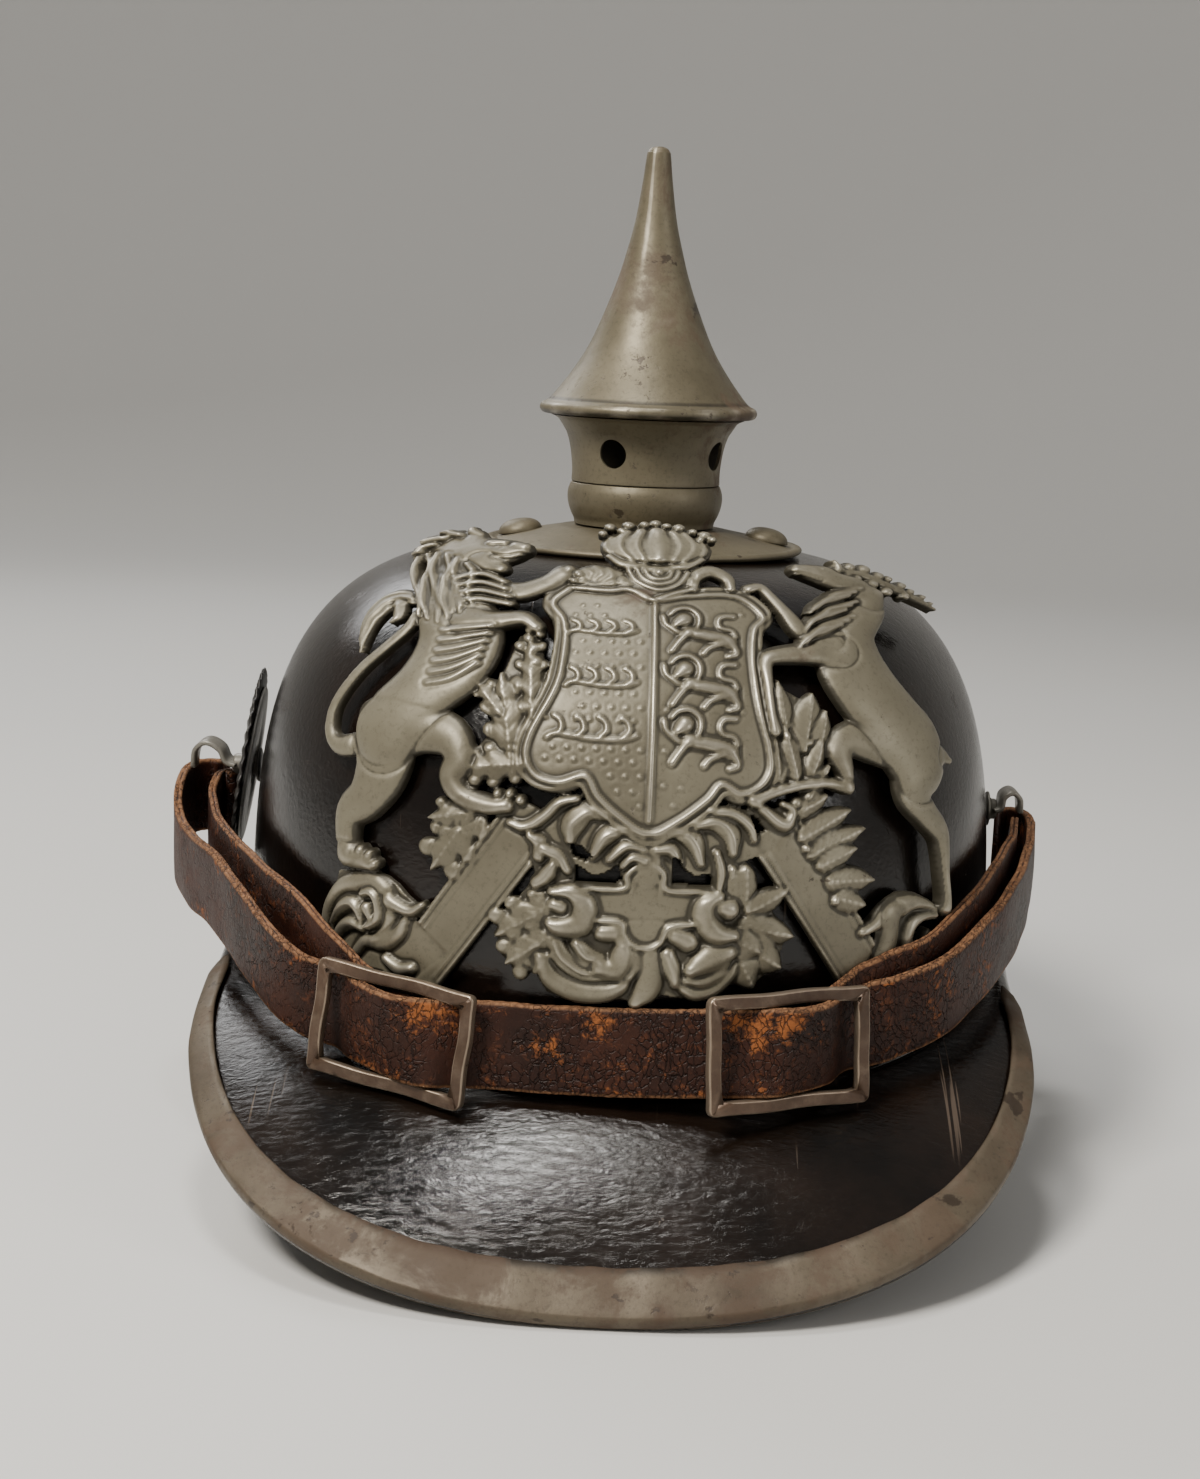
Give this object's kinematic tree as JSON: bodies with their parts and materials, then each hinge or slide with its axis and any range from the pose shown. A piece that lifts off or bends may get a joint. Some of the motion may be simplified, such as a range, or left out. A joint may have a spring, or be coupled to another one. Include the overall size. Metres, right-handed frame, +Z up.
{
  "type": "spiked leather helmet",
  "caption": "Hard leather helmet with a flared hollow spike, stamped heraldic front plate, trimmed front visor and a buckled leather chin strap worn over the visor.",
  "frame": {"origin": "centre of the helmet's bounding box, on the surface that it stands on", "axes": "+Z up along the spike, the front plate faces -Y, +X is to the right of someone facing the front plate"},
  "size_m": [0.2159, 0.2935, 0.2371],
  "materials": {
    "skull_leather": "lacquered black leather, worn and crackled",
    "visor_leather": "glossy black lacquered leather, scratched",
    "grey_metal": "field-grey paint on steel, rubbed and rust-spotted",
    "plate_metal": "field-grey paint on stamped steel, highlights rubbed bright",
    "strap_leather": "dark reddish-brown leather with tan cut edges",
    "buckle_steel": "browned, lightly rusted steel",
    "black_paint": "dull black paint",
    "light_paint": "tarnished light-grey paint"
  },
  "bodies": {
    "shell": {"skull": "skull_leather", "front_visor": "visor_leather", "rear_visor": "visor_leather", "visor_trim": "grey_metal", "base_disc": "grey_metal", "stud_front": "grey_metal", "stud_right": "grey_metal", "stud_back": "grey_metal", "stud_left": "grey_metal", "base_collar": "grey_metal", "rear_spine": "grey_metal", "helmet_plate": "plate_metal", "strap_outer": "strap_leather", "strap_inner_left": "strap_leather", "strap_inner_right": "strap_leather", "buckle_left": "buckle_steel", "buckle_right": "buckle_steel", "side_post_left": "buckle_steel", "side_post_right": "buckle_steel", "cockade": "black_paint", "cockade_ring": "light_paint"},
    "spike_unit": {"spike_neck": "grey_metal", "spike": "grey_metal"}
  },
  "joints": [
    {"name": "spike_bayonet", "type": "hinge", "parent": "shell", "child": "spike_unit", "pos_m": [0.0066, 0.006, 0.16], "axis": [0, 0, 1], "range_deg": [0, 40]}
  ]
}
